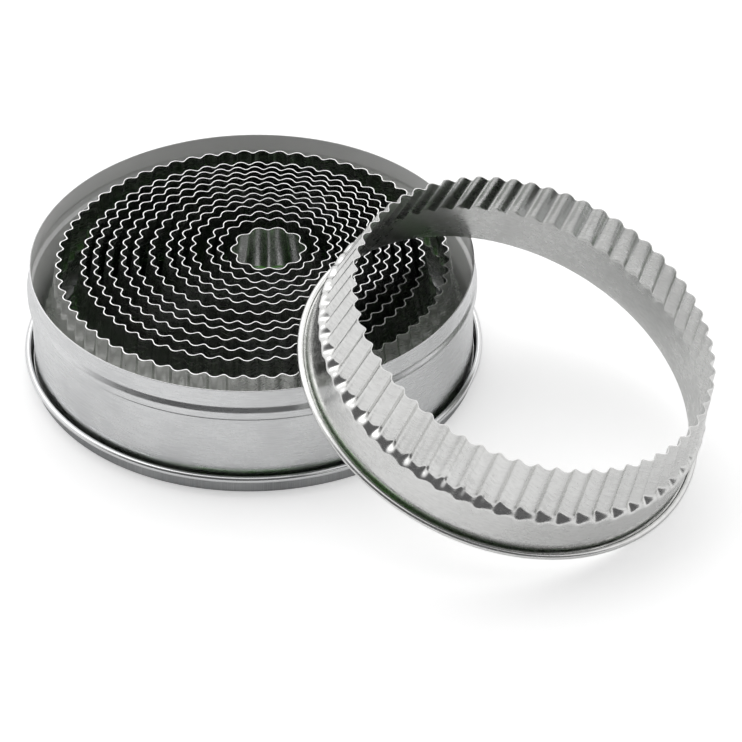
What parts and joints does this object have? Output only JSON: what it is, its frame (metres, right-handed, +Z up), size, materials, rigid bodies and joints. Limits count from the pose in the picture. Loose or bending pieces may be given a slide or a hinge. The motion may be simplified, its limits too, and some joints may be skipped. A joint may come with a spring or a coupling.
{
  "type": "fluted biscuit cutter set",
  "caption": "Round fluted biscuit cutters nested by size in a round tin that stands in its lid, with one cutter leaning on the rim.",
  "frame": {"origin": "middle of the lid's underside, on the table, on the tin's axis", "axes": "+Z up along the tin's axis, -Y towards the viewer of the picture, +X to the right, where the leaning cutter lies"},
  "size_m": [0.192, 0.1666, 0.0671],
  "materials": {
    "lid": "satin tinplate with fine brushing down the skirt",
    "tin_wall": "satin tinplate brushed round the wall, bright on the bead",
    "tin_base": "satin tinplate",
    "cutter_01": "bright rolled steel strip with light drawing lines",
    "cutter_02": "bright rolled steel strip with light drawing lines",
    "cutter_03": "bright rolled steel strip with light drawing lines",
    "cutter_04": "bright rolled steel strip with light drawing lines",
    "cutter_05": "bright rolled steel strip with light drawing lines",
    "cutter_06": "bright rolled steel strip with light drawing lines",
    "cutter_07": "bright rolled steel strip with light drawing lines",
    "cutter_08": "bright rolled steel strip with light drawing lines",
    "cutter_09": "bright rolled steel strip with light drawing lines",
    "cutter_10": "bright rolled steel strip with light drawing lines",
    "cutter_11": "bright rolled steel strip with light drawing lines",
    "cutter_12": "bright rolled steel strip with light drawing lines",
    "cutter_13": "bright rolled steel strip with light drawing lines",
    "cutter_14": "bright rolled steel strip with light drawing lines"
  },
  "bodies": {
    "lid": {"lid": "lid"},
    "tin": {"tin_wall": "tin_wall", "tin_base": "tin_base"},
    "cutter_01": {"cutter_01": "cutter_01"},
    "cutter_02": {"cutter_02": "cutter_02"},
    "cutter_03": {"cutter_03": "cutter_03"},
    "cutter_04": {"cutter_04": "cutter_04"},
    "cutter_05": {"cutter_05": "cutter_05"},
    "cutter_06": {"cutter_06": "cutter_06"},
    "cutter_07": {"cutter_07": "cutter_07"},
    "cutter_08": {"cutter_08": "cutter_08"},
    "cutter_09": {"cutter_09": "cutter_09"},
    "cutter_10": {"cutter_10": "cutter_10"},
    "cutter_11": {"cutter_11": "cutter_11"},
    "cutter_12": {"cutter_12": "cutter_12"},
    "cutter_13": {"cutter_13": "cutter_13"},
    "cutter_14": {"cutter_14": "cutter_14"}
  },
  "joints": [
    {"name": "lift_tin", "type": "slide", "parent": "lid", "child": "tin", "axis": [0, 0, 1], "range_m": [0, 0.036]},
    {"name": "lift_cutter_14", "type": "slide", "parent": "tin", "child": "cutter_14", "axis": [0, 0, 1], "range_m": [0, 0.036]},
    {"name": "lift_cutter_13", "type": "slide", "parent": "cutter_14", "child": "cutter_13", "axis": [0, 0, 1], "range_m": [0, 0.036]},
    {"name": "lift_cutter_12", "type": "slide", "parent": "cutter_13", "child": "cutter_12", "axis": [0, 0, 1], "range_m": [0, 0.036]},
    {"name": "lift_cutter_11", "type": "slide", "parent": "cutter_12", "child": "cutter_11", "axis": [0, 0, 1], "range_m": [0, 0.036]},
    {"name": "lift_cutter_10", "type": "slide", "parent": "cutter_11", "child": "cutter_10", "axis": [0, 0, 1], "range_m": [0, 0.036]},
    {"name": "lift_cutter_09", "type": "slide", "parent": "cutter_10", "child": "cutter_09", "axis": [0, 0, 1], "range_m": [0, 0.036]},
    {"name": "lift_cutter_08", "type": "slide", "parent": "cutter_09", "child": "cutter_08", "axis": [0, 0, 1], "range_m": [0, 0.036]},
    {"name": "lift_cutter_07", "type": "slide", "parent": "cutter_08", "child": "cutter_07", "axis": [0, 0, 1], "range_m": [0, 0.036]},
    {"name": "lift_cutter_06", "type": "slide", "parent": "cutter_07", "child": "cutter_06", "axis": [0, 0, 1], "range_m": [0, 0.036]},
    {"name": "lift_cutter_05", "type": "slide", "parent": "cutter_06", "child": "cutter_05", "axis": [0, 0, 1], "range_m": [0, 0.036]},
    {"name": "lift_cutter_04", "type": "slide", "parent": "cutter_05", "child": "cutter_04", "axis": [0, 0, 1], "range_m": [0, 0.036]},
    {"name": "lift_cutter_03", "type": "slide", "parent": "cutter_04", "child": "cutter_03", "axis": [0, 0, 1], "range_m": [0, 0.036]},
    {"name": "lift_cutter_01", "type": "slide", "parent": "cutter_03", "child": "cutter_01", "axis": [0, 0, 1], "range_m": [0, 0.036]},
    {"name": "lift_cutter_02", "type": "slide", "parent": "cutter_01", "child": "cutter_02", "axis": [0, 0, 1], "range_m": [0, 0.045]}
  ]
}
